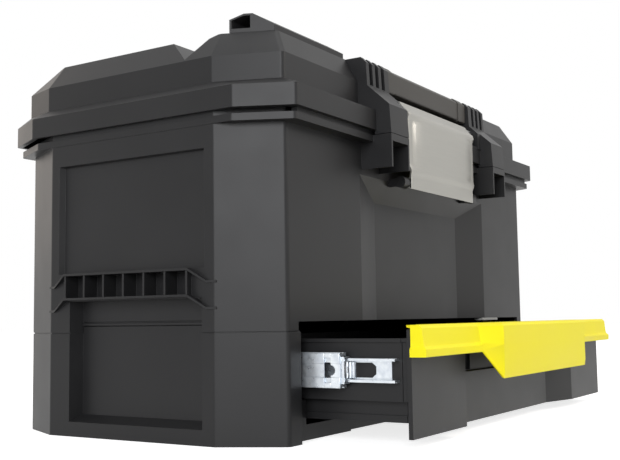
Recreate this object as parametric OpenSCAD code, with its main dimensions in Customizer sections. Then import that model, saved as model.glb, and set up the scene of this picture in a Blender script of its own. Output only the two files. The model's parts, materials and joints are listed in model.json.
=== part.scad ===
// Portable tool box with one wide drawer: moulded case, hinged lid, folding handle, front latch.
// +X runs along the length, the front faces -Y, the floor is z = 0 under the middle of the base.

/* [Case] */
// Length of the case body
body_l = 474; // [440:1:520]
// Depth of the case body
body_d = 240; // [226:1:280]
// Corner chamfer along the length
corner_l = 22; // [14:1:26]
// Corner chamfer along the depth
corner_d = 44; // [36:1:50]
// Rounding of the upright edges
edge_r = 4; // [2:0.5:8]
// Height of the base cabinet, up to the seam
base_h = 74; // [74:0.5:78]
// Height of the upper case, from the seam to its rim
case_h = 143; // [136:1:190]
// Wall of the moulded shells
wall = 3; // [2.5:0.25:3.5]
// Height of the rim that stands out round the upper case
rim_h = 5; // [4:0.5:7]
// How far the rim stands out at the front and back
rim_out = 10.4; // [9:0.1:10.6]
// Height of the tongue that the lid closes over
tongue_h = 5; // [3:0.5:7]
// Shadow gap at the seam, its height and depth
seam_gap = 0.8; // [0.4:0.1:1.2]

/* [Lid] */
// Height of the lid's flange
flange_h = 18; // [15:0.5:20]
// How far the flange stands out at the front and back
flange_out = 13.4; // [13:0.1:14.5]
// How far the flange stands out at the ends
flange_out_end = 3.5; // [3:0.25:6]
// Height of the sloped shoulder above the flange
shoulder_h = 6.5; // [5:0.5:9]
// Height of the crown's upright wall
crown_wall_h = 18; // [16:0.5:21]
// Height of the crown's sloped part
crown_slope_h = 18; // [16:0.5:22]
// Depth of the groove along the lid, for holding long work
groove_deep = 16.7; // [8:0.1:17.5]

/* [Latch] */
// Width of the latch plate
latch_w = 130; // [110:1:134]
// Height of the latch plate below its pin
latch_h = 67; // [60:1:70]
// Thickness of the latch plate
latch_t = 2.2; // [1.5:0.1:2.4]
// Diameter of the latch pin
latch_pin_d = 4; // [3:0.5:5]

/* [Handle] */
// Distance between the two handle brackets
bracket_gap = 157; // [150:1:164]
// Width of one bracket
bracket_w = 35.5; // [33:0.5:38]
// Width of one block under a bracket
block_w = 29; // [26:0.5:30]
// Depth of the grip bar
grip_d = 24; // [20:0.5:28]
// Height of the grip bar
grip_h = 20; // [17:0.5:21]
// Width of one handle arm
arm_w = 15; // [12:0.5:18]
// Distance from the case's front to the handle's pivot
pivot_in = 108; // [100:1:116]
// Diameter of the handle pins
handle_pin_d = 6; // [4:0.5:8]

/* [Hinge] */
// Number of hinges along the back
hinge_n = 3; // [2:1:4]
// Distance between two hinges
hinge_pitch = 150; // [100:5:150]
// Diameter of a hinge knuckle
knuckle_d = 12; // [10:0.5:12.5]
// Diameter of a hinge pin
hinge_pin_d = 5; // [4:0.5:6]
// Width of the lid's knuckle
knuckle_w = 24; // [18:1:30]

/* [Drawer] */
// Width of the drawer bay between the cabinet's inner walls
bay_w = 400; // [380:1:402]
// How far the drawer stands open
drawer_out = 80; // [0:1:150]
// Depth of the drawer tray
tray_d = 200; // [170:1:204]
// Top of the drawer tray above the floor
tray_top = 68.4; // [66:0.2:69]
// Underside of the drawer tray above the floor
tray_z = 14.8; // [14.4:0.2:20]
// Wall of the drawer tray
tray_wall = 2.5; // [2:0.25:3]
// Number of loose dividers across the tray
divider_n = 3; // [1:1:6]
// Top of the drawer's yellow cap above the floor
cap_top = 77; // [76:0.2:78]
// Width of the grip block in the middle of the cap
pull_w = 224; // [180:2:260]
// How far the grip block stands out of the drawer's front plane
pull_out = 20; // [16:0.5:26]

/* [Ball slides] */
// Length of the slide members
slide_l = 200; // [170:1:204]
// Height of the slides' middle line above the floor
slide_z = 48.2; // [47:0.2:49]
// Height of the cabinet member
outer_h = 28.2; // [27.6:0.1:29]
// Height of the middle member
mid_h = 22.7; // [22.3:0.1:23]
// Height of the drawer member
inner_h = 15.2; // [14.8:0.1:15.6]
// Space between the bay wall and the tray that a slide fills
slide_w = 13.5; // [13:0.1:14]
// Thickness of the members' webs
web_t = 1.2; // [1:0.1:1.3]
// Number of balls in one row
ball_n = 6; // [3:1:8]

/* [Tote tray] */
// Depth of the tote tray inside the case
tote_d = 196; // [150:1:200]
// Height of the tote tray
tote_h = 44; // [30:1:60]

/* [Hidden] */

// Colours
black_abs = "#3c3c3e";
grip_grey = "#58595b";
zinc = "#c3c9d0";
latch_metal = "#a9a7a2";
yellow_abs = "#f5dc00";
steel = "#9a9a9c";

// Cutters reach this far past the faces they open
past = 1;
// Clearance of a pin in its bore, on the radius
pin_fit = 0.05;
// Clearance between faces that move past each other
run_fit = 0.4;
// Segments in one rounded corner
corner_n = 4;

// Body
half_l = body_l / 2;
half_d = body_d / 2;
rim_z = base_h + case_h;
rim_out_end = 0.5;
rim_half_d = half_d + rim_out;

// Drawer bay
bay_top = base_h + 6;
bay_half = bay_w / 2;
case_floor = bay_top + wall;
face_fit = 0.5;
face_deep = 9;
face_back = -half_d + face_deep;
rail_h = 10.6;
rail_mid_half = 98;
rail_mid_back = 4.4;
ledge_h = 27.5;
ledge_w = 18.5;
floor_t = 3;
floor_panel_x = 22;
floor_panel_y = 40;
floor_panel_deep = 1.2;

// Posts for the screws between base and case
post_r = 5;
post_x = bay_half + wall + post_r + 7;
post_y = half_d - 28;
screw_r = 2;
screw_head_r = 4;
screw_head_h = 3;
screw_seat = 56;
screw_l = 34;

// End grips
grip_half = 57.5;
grip_knee_half = 71;
grip_end_half = 78;
grip_z = base_h + 25;
grip_gap = 17.5;
grip_plate = 1.6;
grip_out = 5.5;
grip_drop = 8.5;
grip_rib_n = 7;
pocket_deep = 8;
panel_half = 69;
panel_facet = 3;
panel_slope = 1;
panel_deep = 4;
panel_top = rim_z - 20.3;
low_front = -66.5;
low_back = 56.8;
low_facet = 4.5;
low_facet_back = 3.2;
low_deep = 11;
low_z = 10;
low_top = grip_z - 2.5;
low_seam = base_h + 4.2;
low_seam_fit = 0.4;
low_bar_z = low_seam + 0.8;
low_bar_h = 1.4;
low_bar_out = 1.5;
low_groove_h = 1.2;
low_groove_deep = 0.8;

// Recess in the front of the upper case, which the drawer front repeats
recess_half = 77;
recess_edge = 117;
recess_deep = 10;
recess_top = rim_z - 29;
recess_slope = 17;

// Light tab under the front edge
tab_x = 112;
tab_w = 37;
tab_h = 2.3;
tab_out = 0.3;
tab_deep = 8;

// Lid
lid_gap = 0.4;
lid_z = rim_z + lid_gap;
flange_half_l = half_l + flange_out_end;
flange_half_d = half_d + flange_out;
flange_corner_l = corner_l - 3;
flange_corner_d = corner_d - 5;
shoulder_z = lid_z + flange_h;
crown_z = shoulder_z + shoulder_h;
crown_half_l = half_l - 5;
crown_half_d = half_d - 2;
crown_corner_l = corner_l - 4;
crown_corner_d = corner_d + 3;
crown_back_l = corner_l - 12;
crown_back_d = corner_d - 12;
crown_top_z = crown_z + crown_wall_h;
lid_top = crown_top_z + crown_slope_h;
top_half_l = crown_half_l - 11;
top_front = -crown_half_d + 10.4;
top_back = crown_half_d - 34;
top_corner_l = 15.4;
top_corner_d = 36;

// Rail on the lid's left half
rail_in = 1.8;
rail_d = 29.2;
rail_front_h = 4.7;
rail_top_h = 13.2;
rail_back_h = 9.4;
rail_crest_w = 5.6;
rail_back_slope = 9.4;
rail_wall = 1.5;

// Seat of the lid on the rim
seat_w = 9;
seat_in = 4.5;
lid_lip = 3;

// Groove along the lid, as distances from the case's front
groove_front = -half_d + 51;
groove_knee = -half_d + 58;
groove_bottom = -half_d + 72.7;
groove_back = -half_d + 91;
groove_knee_deep = 2.2;

// Handle bay, brackets and blocks
bracket_half = bracket_gap / 2;
bracket_end = bracket_half + bracket_w;
block_in = bracket_end - block_w;
block_out = 25.7;
block_y = -half_d - block_out;
block_h = 25;
block_slope_h = 21;
block_wall = 2;
block_bar_h = 5.5;
bracket_y = -half_d - 6.3;
slot_n = 3;
slot_w = 5.2;
slot_pitch = 9.5;
slot_deep = 20;
handle_bay_z = crown_top_z - 6;
handle_fit = 0.8;
handle_z = handle_bay_z + 5;
pivot_y = -half_d + pivot_in;
pivot_z = handle_z + arm_w * 0.6;
arm_r = 7.5;
handle_front = -half_d - 2;
handle_back_gap = 6;
handle_collar = 0.8;
handle_half = bracket_half - handle_fit;

// Latch
latch_y = -half_d - 6;
latch_z = crown_z + 7;
latch_knuckle_r = latch_pin_d / 2 + 1.6;
latch_face = -half_d - 17;
latch_shoulder_z = latch_z - 7.5;
latch_low_z = latch_z - latch_h;
latch_step_z = latch_low_z + 16;
latch_step_in = 1.6;
latch_step_h = 6;
latch_fold = 2;
latch_fold_deep = 8;
latch_half = latch_w / 2;
latch_foot_half = latch_half - 3.5;
catch_r = 4.5;
catch_y = -half_d - 10;
catch_z = latch_low_z + 5;
catch_l = 9;
catch_arm = 3;

// Hinge
hinge_y = half_d + 7;
hinge_z = rim_z - 11;
hinge_end_w = 12;
hinge_arm_back = 5.9;
hinge_arm_front = 3;

// Drawer
front_z = 7;
front_t = 3;
front_fit = 0.5;
front_half = bay_half - front_fit;
front_top = cap_top - 2.8;
finger_z = front_z + 35.5;
front_screw_near = 24;
front_screw_far = 64;
front_rib_x = 155;
front_rib_t = 3;
front_head_h = 1.5;
front_blind = 0.8;
cap_wall = 2.5;
cap_low = cap_top - 19.7;
cap_half = bay_half + 1;
cap_gap = 0.3;
cap_back = -half_d + 13;
cap_plate_half = bay_half - 15;
cap_out = 11.5;
cap_lip_h = 5;
cap_lip_out = 2;
cap_lip_end = 1.5;
cap_taper = 1.3;
cap_round = 2;
pull_z = cap_top - 38.5;
pull_half = pull_w / 2;
pull_side = 17;
pull_foot = 17;
pull_bevel = 0.8;
pull_bevel_h = 5;
tray_front = -half_d + recess_deep + front_t;
tray_half = bay_half - slide_w;
tray_step_z = ledge_h + 1;
tray_step = 6.5;
tray_band = 1;
tray_band_h = 4.5;
divider_t = 2;
divider_low = 6;
divider_fit = 0.3;
tray_rim_h = 2.4;
tray_rim_out = 1.5;

// Ball slides: places across the slide are distances from the bay wall
slide_front = face_back;
outer_flange = 9.5;
outer_flange_t = 1.8;
mid_in = 2.6;
mid_flange = 7.9;
mid_flange_t = 2.2;
inner_flange = 6.5;
inner_flange_t = 1.6;
mid_front = slide_front + 3.3;
outer_ball_r = 1.4;
outer_ball_in = 6;
outer_ball_h = (outer_h / 2 - outer_flange_t + mid_h / 2) / 2;
inner_ball_r = 1.3;
inner_ball_in = 8.8;
inner_ball_h = (mid_h / 2 - mid_flange_t + inner_h / 2) / 2;
ball_fit = 0.06;
ball_pitch = 8;
cage_front = slide_front + 1;
cage_l = ball_n * ball_pitch + 3;
inner_cage_t = 0.7;
outer_cage_t = 0.5;
outer_cage_front = slide_front + 30;
inner_front = slide_front + 6;
inner_notch = 4.8;
inner_window_y = inner_front + 16;
inner_window_l = 15.4;
inner_window_h = 9.7;
inner_window_taper = 3;
mid_slot_y = mid_front + 7;
mid_slot_l = 5;
mid_slot_h = 16;
mid_bump_r = 3.3;
mid_sunk_h = 9;
mid_sunk = 0.4;
slide_screw_r = 1.5;
slide_head_r = 3;
slide_head_h = 0.8;
slide_screw_n = 3;
slide_screw_in = 45;
slide_screw_step = (slide_l - 2 * slide_screw_in) / (slide_screw_n - 1);

// Tote tray
tote_gap = 8;
tote_half_l = half_l - wall - panel_deep - tote_gap;
tote_top = rim_z - 14;
tote_z = tote_top - tote_h;
tote_ledge_z = tote_top - 20;
tote_ledge_half = 45;
tote_lug_w = 6;
tote_lug_t = 3;
tote_bar_half = 70;
tote_bar_w = 18;
tote_bar_t = 4;
tote_bar_up = 9;
tote_bar_down = 14;
tote_cell_x = tote_bar_half + 40;
tote_cell_t = 2.5;
tote_cell_low = 10;
tote_wall_low = 4;

// Outline of an octagon from its half length, front, back and corner sizes
function octagon(hx, yf, yb, cx, cy) = outline(hx, yf, yb, cx, cy, cx, cy);
// The same with corners of their own at the back, or square ones where bx is 0
function outline(hx, yf, yb, cx, cy, bx, by) = concat([[-hx + cx, yf], [hx - cx, yf], [hx, yf + cy]],
    bx > 0 ? [[hx, yb - by], [hx - bx, yb], [-hx + bx, yb], [-hx, yb - by]] : [[hx, yb], [-hx, yb]],
    [[-hx, yf + cy]]);
// The same outline with each corner turned into an arc of radius r
function unit(v) = v / norm(v);
function turn(a) = a > 180 ? a - 360 : a < -180 ? a + 360 : a;
function arc_at(a, p, b, r) =
    let (u = unit(a - p), v = unit(b - p), phi = acos(u * v), c = p + unit(u + v) * r / sin(phi / 2),
        s = p + u * r / tan(phi / 2) - c, e = p + v * r / tan(phi / 2) - c,
        s_deg = atan2(s[1], s[0]), d = turn(atan2(e[1], e[0]) - s_deg))
    [for (i = [0 : corner_n]) c + r * [cos(s_deg + d * i / corner_n), sin(s_deg + d * i / corner_n)]];
function rounded(pts, r) = let (n = len(pts))
    [for (i = [0 : n - 1], q = arc_at(pts[(i + n - 1) % n], pts[i], pts[(i + 1) % n], r)) q];
// Plan outline of the body, drawn in by a distance
function body_plan(in = 0) =
    rounded(octagon(half_l - in, -half_d + in, half_d - in, corner_l - in * 0.2, corner_d - in * 0.6),
        max(edge_r - in, 0.5));

// Upright prism over a plan outline
module prism(pts, z0, z1) {
    translate([0, 0, z0]) linear_extrude(z1 - z0) polygon(pts);
}
// Profile in Y and Z, drawn out along X
module along_x(x0, x1) {
    translate([x0, 0, 0]) rotate([90, 0, 90]) linear_extrude(x1 - x0) children();
}
// Profile in X and Z, drawn out along Y
module along_y(y0, y1) {
    translate([0, y1, 0]) rotate([90, 0, 0]) linear_extrude(y1 - y0) children();
}
// Box from its lowest to its highest corner
module block(a, b) {
    translate(a) cube(b - a);
}
// The right-hand shape and its mirror image on the left
module both_sides() {
    children();
    mirror([1, 0, 0]) children();
}
// Round bar along X between two places
module bar_x(x0, x1, y, z, r) {
    translate([x0, y, z]) rotate([0, 90, 0]) cylinder(h = x1 - x0, r = r, $fn = 48);
}

// ---- Base cabinet ----

// Hand recess low in the right end; grow makes the larger shape that its wall follows
module low_recess(grow = 0) {
    deep = half_l - low_deep - grow;
    intersection() {
        along_y(low_front - grow, low_back + grow)
            polygon([[half_l + past, low_z - grow], [deep, low_z + 5 - grow],
                [deep, low_top + grow], [half_l + past, low_top + grow]]);
        prism([[half_l + past, low_front - grow], [half_l + past, low_back + grow],
            [deep, low_back - low_facet_back + grow], [deep, low_front + low_facet - grow]], 0, rim_z);
    }
}
// The base's wall goes on above the seam behind that recess; fit makes the room for it in the case
module low_upstand(fit = 0) {
    deep = half_l - low_deep;
    block([deep - wall - fit, low_front + low_facet + run_fit - fit, base_h - past],
        [deep + (fit > 0 ? past : 0), low_back - low_facet_back - run_fit + fit, low_seam + fit]);
}
module at_posts() {
    for (x = [-post_x, post_x], y = [-post_y, post_y]) translate([x, y, 0]) children();
}
module base_cabinet() color(black_abs) difference() {
    union() {
        difference() {
            union() {
                prism(body_plan(), 0, base_h - seam_gap);
                prism(body_plan(seam_gap), base_h - seam_gap - past, base_h);
            }
            difference() {
                prism(body_plan(wall), floor_t, base_h + past);
                both_sides() block([bay_half, -half_d, 0], [bay_half + wall, half_d, base_h + past]);
                both_sides() low_recess(wall);
                at_posts() cylinder(h = base_h + past, r = post_r, $fn = 48);
            }
        }
        both_sides() block([bay_half - ledge_w, face_back, 0], [bay_half + wall, half_d - wall, ledge_h]);
        both_sides() low_upstand();
        // Rail under the drawer
        both_sides() {
            block([rail_mid_half, face_back, 0], [bay_half - ledge_w + past, face_back + wall, rail_h]);
            block([rail_mid_half, face_back, 0],
                [rail_mid_half + wall, face_back + rail_mid_back + wall, rail_h]);
        }
        block([-rail_mid_half - past, face_back + rail_mid_back, 0],
            [rail_mid_half + past, face_back + rail_mid_back + wall, rail_h]);
    }
    // Drawer opening through the front, and the floor's edge set back behind the closed front's middle
    block([-bay_half - face_fit, -half_d - past, -past], [bay_half + face_fit, face_back, base_h + past]);
    block([-rail_mid_half, face_back - past, -past],
        [rail_mid_half, face_back + rail_mid_back, base_h + past]);
    both_sides() low_recess();
    // Pockets under the ledges and shallow panels under the floor
    both_sides() block([bay_half - ledge_w + wall, face_back + wall, -past],
        [bay_half, half_d - 2 * wall, ledge_h - wall]);
    both_sides() block([floor_panel_x, -half_d + floor_panel_y, -past],
        [bay_half - ledge_w - floor_panel_x, half_d - floor_panel_y, floor_panel_deep]);
    both_sides() at_slide_screws()
        bar_x(bay_half - past, bay_half + wall + past, 0, slide_z, slide_screw_r + pin_fit);
    at_posts() {
        translate([0, 0, -past]) cylinder(h = base_h + 2 * past, r = screw_r + pin_fit, $fn = 32);
        translate([0, 0, -past]) cylinder(h = screw_seat + past, r = screw_head_r + 0.5, $fn = 32);
    }
}
module case_screws() color(steel) at_posts() {
    translate([0, 0, screw_seat]) rotate([180, 0, 0]) cylinder(h = screw_head_h, r = screw_head_r, $fn = 32);
    translate([0, 0, screw_seat - past]) cylinder(h = screw_l + past, r = screw_r, $fn = 32);
}

// ---- Upper case ----

// Recess in the front, between the drawer and the latch
module front_recess(grow = 0) {
    deep = -half_d + recess_deep + grow;
    intersection() {
        prism([[-recess_edge - grow, -half_d - past], [-recess_edge - grow, -half_d],
            [-recess_half - grow, deep], [recess_half + grow, deep],
            [recess_edge + grow, -half_d], [recess_edge + grow, -half_d - past]], base_h - past, rim_z);
        along_x(-half_l, half_l)
            polygon([[-half_d - past, base_h - past], [deep, base_h - past],
                [deep, recess_top - recess_slope + grow], [-half_d, recess_top + grow],
                [-half_d - past, recess_top + grow]]);
    }
}
// Shallow panel in the right end, above the grip
module end_panel(grow = 0) {
    deep = half_l - panel_deep - grow;
    intersection() {
        along_y(-panel_half - grow, panel_half + grow)
            polygon([[half_l + past, grip_z + grip_gap - grow], [deep, grip_z + grip_gap - grow],
                [deep, panel_top - panel_slope + grow], [half_l + past, panel_top + grow]]);
        prism([[half_l + past, -panel_half - grow], [half_l + past, panel_half + grow],
            [deep, panel_half - panel_facet + grow], [deep, -panel_half + panel_facet - grow]], 0, rim_z);
    }
}
// Pocket behind the grip's ribs
module grip_pocket(grow = 0) {
    block([half_l - pocket_deep - grow, -grip_half - grow, grip_z - grow],
        [half_l + past, grip_half + grow, grip_z + grip_gap - grip_plate + grow]);
}
// Right end grip: two plates with drooping ends, and ribs between them
function grip_line(z) = [[-grip_end_half, z - grip_drop], [-grip_knee_half, z - grip_drop], [-grip_half, z],
    [grip_half, z], [grip_knee_half, z - grip_drop], [grip_end_half, z - grip_drop]];
module end_grip() {
    root = half_l - 1;
    for (z = [grip_z, grip_z + grip_gap]) intersection() {
        along_x(root, half_l + grip_out)
            polygon(concat(grip_line(z), reversed(grip_line(z - grip_plate))));
        prism([[root, -grip_end_half - 3], [half_l + grip_out, -grip_half], [half_l + grip_out, grip_half],
            [root, grip_end_half + 3]], base_h, rim_z);
    }
    for (i = [0 : grip_rib_n - 1]) {
        y = (i / (grip_rib_n - 1) - 0.5) * (2 * grip_half - grip_plate);
        block([half_l - pocket_deep - 0.5, y - grip_plate / 2, grip_z - grip_plate / 2],
            [half_l + grip_out - 0.8, y + grip_plate / 2, grip_z + grip_gap - grip_plate / 2]);
    }
}
// Places of the hinges along the back
module at_hinges() {
    for (i = [0 : hinge_n - 1]) translate([(i - (hinge_n - 1) / 2) * hinge_pitch, 0, 0]) children();
}
// The case's half of one hinge, with its bore
module case_knuckles() difference() {
    both_sides() {
        x0 = knuckle_w / 2 + run_fit;
        bar_x(x0, x0 + hinge_end_w, hinge_y, hinge_z, knuckle_d / 2);
        along_x(x0, x0 + hinge_end_w)
            polygon([[half_d - wall / 2, hinge_z - 14], [half_d, hinge_z - 14], [hinge_y + 3, hinge_z - 4],
                [hinge_y + 3, hinge_z + 4], [hinge_y, rim_z - rim_h / 2],
                    [half_d - wall / 2, rim_z - rim_h / 2]]);
    }
    bar_x(-knuckle_w, knuckle_w, hinge_y, hinge_z, hinge_pin_d / 2 + pin_fit);
}
// Open block under a bracket: two side walls and a top bar
module case_block() {
    z0 = rim_z - block_h;
    block([bracket_end - block_wall, block_y, z0], [bracket_end, -half_d + wall / 2, rim_z]);
    block([block_in, block_y, z0], [block_in + block_wall, -half_d + wall / 2, rim_z]);
    block([block_in, block_y, rim_z - block_bar_h], [bracket_end, -half_d + wall / 2, rim_z]);
}
// Catch beside the latch's foot
module catch() {
    x0 = latch_foot_half + run_fit;
    bar_x(x0, x0 + catch_l, catch_y, catch_z, catch_r);
    block([x0 + catch_l / 2, catch_y, catch_z - catch_arm],
        [x0 + catch_l, -half_d + wall / 2, catch_z + catch_arm]);
}
module rim() difference() {
    prism(rounded(octagon(half_l + rim_out_end, -rim_half_d, rim_half_d, flange_corner_l, flange_corner_d),
        edge_r), rim_z - rim_h, rim_z);
    prism(body_plan(wall / 2), rim_z - rim_h - past, rim_z + past);
    // Ways for the latch's foot at the front and for the lid's hinge arms at the back
    block([-latch_half - 2, -rim_half_d - past, rim_z - rim_h - past],
        [latch_half + 2, -half_d, rim_z + past]);
    at_hinges() block([-knuckle_w / 2 - run_fit, half_d, rim_z - rim_h - past],
        [knuckle_w / 2 + run_fit, rim_half_d + past, rim_z + past]);
}
module upper_case() color(black_abs) difference() {
    union() {
        difference() {
            union() {
                prism(body_plan(), base_h, rim_z);
                prism(body_plan(0.2), rim_z - past, rim_z + tongue_h);
            }
            difference() {
                prism(body_plan(wall), case_floor, rim_z + tongue_h + past);
                front_recess(wall);
                both_sides() low_recess(wall);
                both_sides() end_panel(wall);
                both_sides() grip_pocket(wall);
                at_posts() cylinder(h = case_floor + 14, r = post_r, $fn = 48);
                // Ledges that carry the tote tray
                both_sides() block([tote_half_l + 2, -tote_ledge_half, tote_ledge_z - tote_lug_t],
                    [half_l, tote_ledge_half, tote_ledge_z]);
            }
            difference() {
                prism(body_plan(wall), base_h - past, bay_top);
                at_posts() cylinder(h = bay_top + past, r = post_r, $fn = 48);
                both_sides() low_recess(wall);
            }
            block([-bay_half - wall, -half_d - past, base_h - past], [bay_half + wall, face_back, bay_top]);
            both_sides() low_recess();
            both_sides() low_upstand(low_seam_fit);
            both_sides() block([half_l - low_deep - low_groove_deep, low_front + low_facet + run_fit,
                low_bar_z + low_bar_h], [half_l, low_back - low_facet_back - run_fit,
                    low_bar_z + low_bar_h + low_groove_h]);
            both_sides() end_panel();
            both_sides() grip_pocket();
            front_recess();
        }
        both_sides() block([half_l - low_deep - past, low_front + low_facet + run_fit, low_bar_z],
            [half_l - low_deep + low_bar_out, low_back - low_facet_back - run_fit, low_bar_z + low_bar_h]);
        rim();
        both_sides() end_grip();
        both_sides() case_block();
        both_sides() catch();
        at_hinges() case_knuckles();
    }
    at_posts() cylinder(h = screw_seat + screw_l + past, r = screw_r + pin_fit, $fn = 32);
}
// Light tab under the front edge, right of the middle
module drawer_tab() color("#b9b9b6")
    block([tab_x, -half_d - tab_out, bay_top - tab_h], [tab_x + tab_w, -half_d + tab_deep, bay_top]);
module hinge_pins() color(steel)
    at_hinges() bar_x(-knuckle_w / 2 - hinge_end_w, knuckle_w / 2 + hinge_end_w, hinge_y, hinge_z,
        hinge_pin_d / 2);

// ---- Lid ----

// Solid under the lid's outer face, drawn in by a distance
module lid_form(in = 0) {
    flange = rounded(octagon(flange_half_l - in, -flange_half_d + in, flange_half_d - in,
        flange_corner_l, flange_corner_d), max(edge_r - in, 0.5));
    crown = rounded(outline(crown_half_l - in, -crown_half_d + in, crown_half_d - in,
        crown_corner_l, crown_corner_d, crown_back_l, crown_back_d), max(edge_r - in, 0.5));
    top = rounded(outline(top_half_l - in, top_front + in * 0.6, top_back - in * 0.4,
        top_corner_l, top_corner_d, 0, 0), max(edge_r - in, 0.5));
    thin = 0.01;
    prism(flange, lid_z + lid_lip - (in > 0 ? past : 0), shoulder_z - in * 0.4);
    hull() {
        prism(flange, shoulder_z - in * 0.4 - thin, shoulder_z - in * 0.4);
        prism(crown, crown_z - in * 0.4 - thin, crown_z - in * 0.4);
    }
    prism(crown, crown_z - in * 0.4 - 2 * thin, crown_top_z - in * 0.4);
    hull() {
        prism(crown, crown_top_z - in * 0.4 - thin, crown_top_z - in * 0.4);
        prism(top, lid_top - in - thin, lid_top - in);
    }
}
// Groove along the lid; grow makes the larger shape that its wall follows
module lid_groove(grow = 0) {
    z = lid_top + 2 * past;
    along_x(-half_l, half_l)
        polygon([[groove_front - grow * 1.3, z], [groove_front - grow * 1.3, lid_top],
            [groove_knee - grow * 0.5, lid_top - groove_knee_deep - grow],
            [groove_bottom, lid_top - groove_deep - grow], [groove_back + grow * 1.2, lid_top],
                [groove_back + grow * 1.2, z]]);
}
// Bay that the folded handle lies in
module handle_bay(grow = 0) {
    block([-bracket_half - grow, -crown_half_d - (grow > 0 ? 0 : 20), handle_bay_z - grow],
        [bracket_half + grow, pivot_y + arm_r + handle_back_gap + grow, lid_top + 2 * past]);
}
// Right bracket: a plate profile, with upright slots in its front
module bracket() {
    front = -flange_half_d;
    difference() {
        union() {
            along_x(bracket_half, bracket_end)
                polygon([[top_front, lid_top], [bracket_y + 5.4, lid_top], [bracket_y + 0.9, lid_top - 4.5],
                    [bracket_y, crown_top_z - 4.5], [front - 1, crown_top_z - 12], [front - 1, shoulder_z - 2],
                    [-crown_half_d + wall, shoulder_z - 2], [-crown_half_d + wall, crown_top_z]]);
            along_x(block_in, bracket_end)
                polygon([[bracket_y, crown_top_z - 4.5], [block_y + 1.3, crown_top_z - block_slope_h],
                    [block_y, lid_z], [front + wall / 2, lid_z], [front + wall / 2, crown_top_z - 12]]);
        }
        for (i = [0 : slot_n - 1]) {
            x = bracket_end - 7 - i * slot_pitch;
            block([x - slot_w / 2, -half_d - 20, crown_top_z - 3.5],
                [x + slot_w / 2, bracket_y + slot_deep, lid_top + past]);
        }
    }
}
// The lid's half of one hinge
module lid_knuckle() {
    bar_x(-knuckle_w / 2, knuckle_w / 2, hinge_y, hinge_z, knuckle_d / 2);
    block([-knuckle_w / 2, hinge_y - hinge_arm_front, hinge_z],
        [knuckle_w / 2, hinge_y + hinge_arm_back, lid_z + 5]);
}
module lid_shell() color(black_abs) difference() {
    union() {
        difference() {
            lid_form();
            difference() {
                lid_form(wall);
                lid_groove(wall);
                handle_bay(wall);
                // Bosses inside the lid that take the handle's pins
                both_sides() block([bracket_half, pivot_y - 8, pivot_z - 8],
                    [bracket_half + 11, pivot_y + 8, lid_top]);
            }
            lid_groove();
        }
        both_sides() bracket();
        at_hinges() lid_knuckle();
        // Ring inside the flange that rests on the case's rim and clears its tongue
        difference() {
            union() {
                prism(rounded(octagon(flange_half_l - wall / 2, -flange_half_d + wall / 2,
                    flange_half_d - wall / 2, flange_corner_l, flange_corner_d), edge_r), lid_z + lid_lip,
                        lid_z + lid_lip + wall);
                block([-half_l + corner_l, -flange_half_d + seat_in, lid_z],
                    [half_l - corner_l, -half_d, lid_z + lid_lip + wall]);
            }
            prism(rounded(octagon(half_l + run_fit, -flange_half_d + seat_w, flange_half_d,
                flange_corner_l, flange_corner_d), edge_r), lid_z - past, lid_z + lid_lip + wall + past);
            block([-half_l - 20, half_d - 40, lid_z - past],
                [half_l + 20, half_d + 20, lid_z + lid_lip + wall + past]);
        }
    }
    handle_bay();
    at_hinges() bar_x(-knuckle_w, knuckle_w, hinge_y, hinge_z, hinge_pin_d / 2 + pin_fit);
    both_sides() bar_x(bracket_half - past, bracket_half + 8, pivot_y, pivot_z, handle_pin_d / 2 + pin_fit);
    both_sides() bar_x(bracket_half - past, bracket_half + 9, latch_y, latch_z, latch_pin_d / 2 + pin_fit);
}
// Rail on the left of the lid's front, hollow and open at its outer end
module lid_rail() color(black_abs) {
    front = top_front + rail_in;
    back = front + rail_d;
    crest = back - rail_back_slope;
    t = rail_wall;
    intersection() {
        difference() {
            along_x(-crown_half_l, -bracket_end)
                polygon([[front, lid_top], [front, lid_top + rail_front_h],
                    [crest - rail_crest_w, lid_top + rail_top_h], [crest, lid_top + rail_top_h],
                        [back, lid_top + rail_back_h], [back, lid_top]]);
            along_x(-crown_half_l - past, -bracket_end - 12)
                polygon([[crest - rail_crest_w + t, lid_top + 2 * t],
                    [crest - rail_crest_w + t, lid_top + rail_top_h - t], [crest, lid_top + rail_top_h - t],
                    [back - t, lid_top + rail_back_h - t / 2], [back - t, lid_top + 2 * t]]);
        }
        prism(octagon(top_half_l, top_front, top_back, top_corner_l, top_corner_d), lid_top, lid_top + 20);
    }
}
module latch_pin() color(steel)
    bar_x(-bracket_half - 9, bracket_half + 9, latch_y, latch_z, latch_pin_d / 2);
module handle_pins() color(steel)
    both_sides() bar_x(bracket_half - arm_w - 2, bracket_half + 8, pivot_y, pivot_z, handle_pin_d / 2);

// ---- Latch ----

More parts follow.
